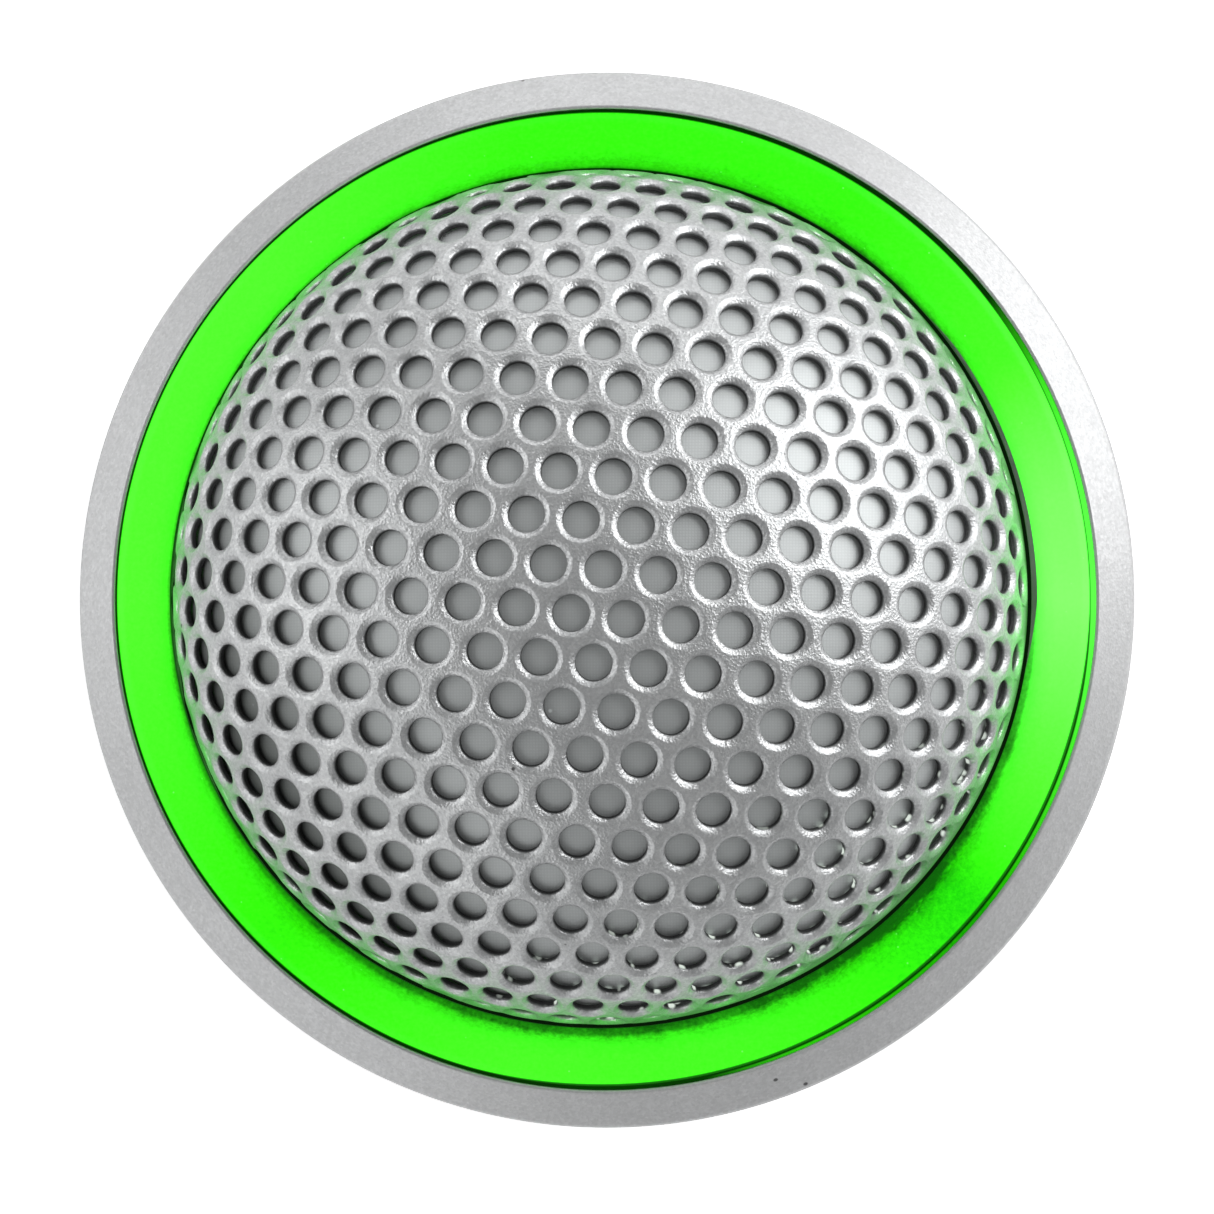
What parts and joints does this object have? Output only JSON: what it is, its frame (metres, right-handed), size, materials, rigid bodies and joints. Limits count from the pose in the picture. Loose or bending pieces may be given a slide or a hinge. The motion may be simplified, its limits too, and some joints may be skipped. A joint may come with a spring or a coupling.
{
  "type": "car tweeter",
  "caption": "Round flush-mount car tweeter: perforated dome grille, lit green ring, silver bezel, soft-dome driver and a threaded barrel with a clamp nut.",
  "frame": {"origin": "centre of the flat rear face of the rear cover", "axes": "+Z is the way the tweeter fires, out through the dome grille; -Y is the plug's latch side"},
  "size_m": [0.05, 0.05, 0.0415],
  "materials": {
    "silver_paint": "satin, fine metallic speckle",
    "ring_green": "translucent light guide, lit green",
    "scrim_grey": "fine woven cloth",
    "black_plastic": "fine moulded grain",
    "dark_plastic": "satin moulded",
    "foam_black": "closed-cell foam",
    "seal_rubber": "matt",
    "zinc_steel": "zinc plated",
    "magnet_nickel": "nickel plated",
    "silk": "coated silk",
    "copper": "enamelled copper wire",
    "kapton": "amber film",
    "felt": "wool felt",
    "board_green": "solder-masked glass laminate",
    "board_white": "white solder mask",
    "led_yellow": "encapsulated chip",
    "tin": "tin plated",
    "wire_red": "wire insulation",
    "wire_black": "wire insulation"
  },
  "bodies": {
    "housing": {"grille": "silver_paint", "grille_scrim": "scrim_grey", "light_ring": "ring_green", "bezel": "silver_paint", "led_board": "board_white", "led_1": "led_yellow", "led_2": "led_yellow", "led_3": "led_yellow", "led_4": "led_yellow", "led_5": "led_yellow", "led_6": "led_yellow", "led_7": "led_yellow", "led_8": "led_yellow", "housing": "black_plastic", "panel_gasket": "foam_black", "pot": "zinc_steel", "magnet": "magnet_nickel", "top_plate": "zinc_steel", "damping_pad": "felt", "chamber_pad": "felt", "diaphragm_frame": "dark_plastic", "waveguide": "dark_plastic", "frame_screw_1": "zinc_steel", "frame_screw_2": "zinc_steel", "frame_screw_3": "zinc_steel", "rear_cover": "black_plastic", "cover_seal": "seal_rubber", "crossover_board": "board_green", "terminal_header": "black_plastic", "capacitor": "zinc_steel", "led_resistor": "black_plastic", "terminal_pin_1": "tin", "terminal_pin_2": "tin", "terminal_pin_3": "tin", "terminal_pin_4": "tin", "cover_screw_1": "zinc_steel", "cover_screw_2": "zinc_steel", "cover_screw_3": "zinc_steel", "coil_lead_a": "copper", "coil_lead_b": "copper", "led_lead_a": "wire_red", "led_lead_b": "wire_black"},
    "diaphragm": {"diaphragm": "silk", "coil_former": "kapton", "voice_coil": "copper", "surround": "silk"},
    "slip_washer": {"slip_washer": "dark_plastic"},
    "clamp_nut": {"clamp_nut": "dark_plastic"}
  },
  "joints": [
    {"name": "diaphragm_travel", "type": "slide", "parent": "housing", "child": "diaphragm", "axis": [0, 0, 1], "range_m": [-0.0004, 0.0004], "stiffness_N_per_m": 500, "deforming": ["surround"]},
    {"name": "clamp_slide", "type": "slide", "parent": "housing", "child": "slip_washer", "axis": [0, 0, 1], "range_m": [-0.0045, 0.0045]},
    {"name": "nut_spin", "type": "hinge", "parent": "slip_washer", "child": "clamp_nut", "pos_m": [0, 0, 0.0111], "axis": [0, 0, 1], "range_deg": [-540, 540]}
  ],
  "couplings": [
    {"joint": "clamp_slide", "follows": "nut_spin", "m_per_rad": 0.00047746}
  ]
}
